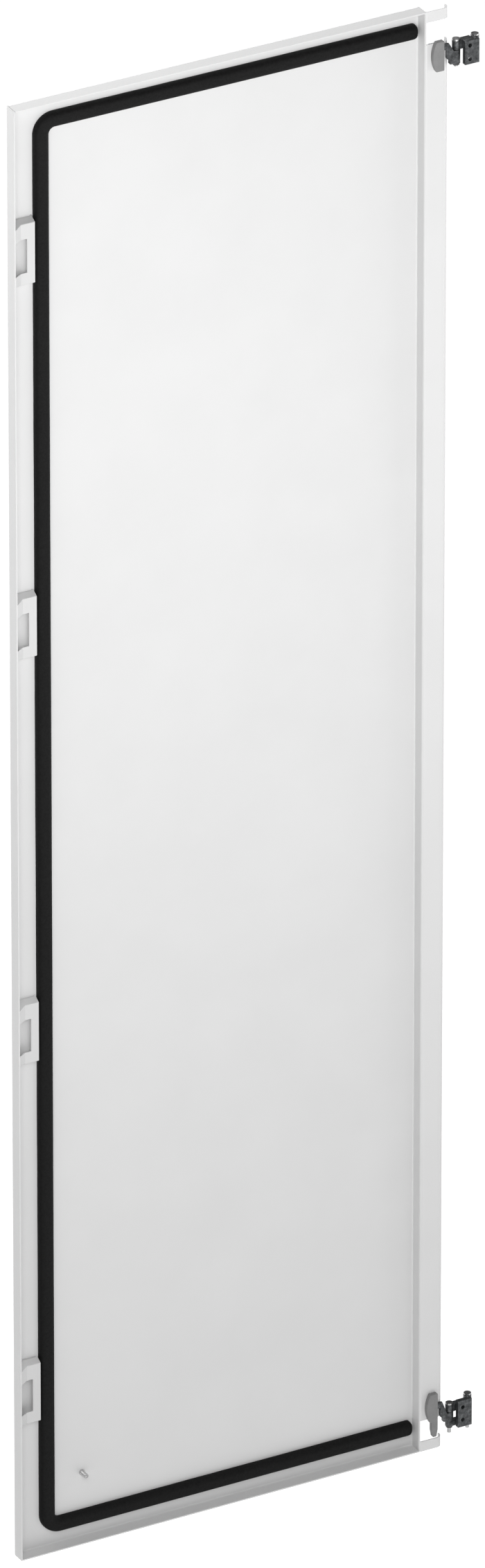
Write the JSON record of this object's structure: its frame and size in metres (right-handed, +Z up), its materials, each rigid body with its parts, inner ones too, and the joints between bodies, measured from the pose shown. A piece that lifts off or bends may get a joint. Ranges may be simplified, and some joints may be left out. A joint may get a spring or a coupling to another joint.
{
  "type": "enclosure door leaf with two-pin hinges",
  "caption": "Tall folded-steel enclosure door leaf with a C-shaped foam gasket, latch keepers along one edge and folding two-pin hinges at the other.",
  "frame": {"origin": "centre of the lower frame bracket's two tapped holes, on the face that seats against the enclosure frame", "axes": "+Z up along the hinge pins; +X across the leaf from the latch edge towards the hinges; +Y out of the enclosure, so the gasketed inner side faces -Y"},
  "size_m": [0.6417, 0.03, 2],
  "materials": {
    "painted_steel": "light grey powder coat, fine orange-peel texture",
    "keeper_steel": "light grey powder coat over pressed steel",
    "foam_gasket": "matt black closed-skin polyurethane foam",
    "dark_zinc_casting": "dark passivated zinc die casting, satin, slightly grained",
    "grey_cap_plastic": "mid-grey moulded polyamide with fine texture",
    "zinc_plated_steel": "bright zinc plating",
    "pin_steel": "turned steel, bright",
    "spring_steel": "blackened spring steel",
    "bush_polymer": "natural acetal",
    "stud_steel": "copper-flashed weld stud, dull grey"
  },
  "bodies": {
    "frame_brackets": {"upper_frame_bracket": "dark_zinc_casting", "lower_frame_bracket": "dark_zinc_casting", "upper_frame_pin": "pin_steel", "lower_frame_pin": "pin_steel", "upper_frame_pin_clip": "spring_steel", "lower_frame_pin_clip": "spring_steel"},
    "links": {"upper_link": "dark_zinc_casting", "lower_link": "dark_zinc_casting", "upper_door_pin": "pin_steel", "lower_door_pin": "pin_steel", "upper_door_pin_clip": "spring_steel", "lower_door_pin_clip": "spring_steel", "upper_link_bush": "bush_polymer", "lower_link_bush": "bush_polymer"},
    "door": {"door_leaf": "painted_steel", "door_gasket": "foam_gasket", "keeper_1": "keeper_steel", "keeper_2": "keeper_steel", "keeper_3": "keeper_steel", "keeper_4": "keeper_steel", "upper_nut_plate": "zinc_plated_steel", "lower_nut_plate": "zinc_plated_steel", "upper_door_bracket": "dark_zinc_casting", "lower_door_bracket": "dark_zinc_casting", "upper_bracket_screws": "zinc_plated_steel", "lower_bracket_screws": "zinc_plated_steel", "upper_bracket_cap": "grey_cap_plastic", "lower_bracket_cap": "grey_cap_plastic", "upper_door_bush": "bush_polymer", "lower_door_bush": "bush_polymer", "earth_stud": "stud_steel"}
  },
  "joints": [
    {"name": "link_pivot", "type": "hinge", "parent": "frame_brackets", "child": "links", "pos_m": [0.013, 0.012, 0], "axis": [0, 0, -1], "range_deg": [0, 90]},
    {"name": "door_pivot", "type": "hinge", "parent": "links", "child": "door", "pos_m": [-0.013, 0.012, 0], "axis": [0, 0, -1], "range_deg": [0, 90]}
  ]
}
